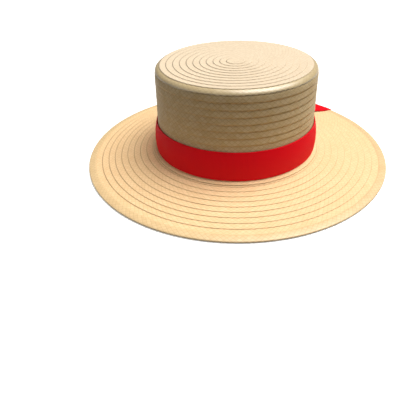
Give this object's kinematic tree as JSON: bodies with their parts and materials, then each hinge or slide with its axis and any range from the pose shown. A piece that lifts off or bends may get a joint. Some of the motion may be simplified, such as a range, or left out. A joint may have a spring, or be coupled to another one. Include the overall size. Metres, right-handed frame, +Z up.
{
  "type": "straw boater hat",
  "caption": "Stiff straw boater with a flat topped round crown, a level brim with a bound edge, and a red ribbon band with a flat bow and tails at the back.",
  "frame": {"origin": "on the floor under the middle of the brim, at the centre of the bottom of the bounding box", "axes": "+Z up through the crown, +Y towards the back of the hat, where the bow is, +X towards the wearer's left"},
  "size_m": [0.362, 0.362, 0.109],
  "materials": {
    "straw": "sewn straw braid, lightly stiffened, satin",
    "straw_edge": "straw braid bound round the edge, satin",
    "ribbon": "red grosgrain ribbon, soft sheen"
  },
  "bodies": {
    "root": {"crown_tip": "straw", "crown_side": "straw", "brim": "straw", "brim_edge": "straw_edge", "ribbon_band": "ribbon", "bow_knot": "ribbon", "bow_loop_left": "ribbon", "bow_loop_right": "ribbon", "ribbon_tail_left": "ribbon", "ribbon_tail_right": "ribbon"}
  },
  "joints": []
}
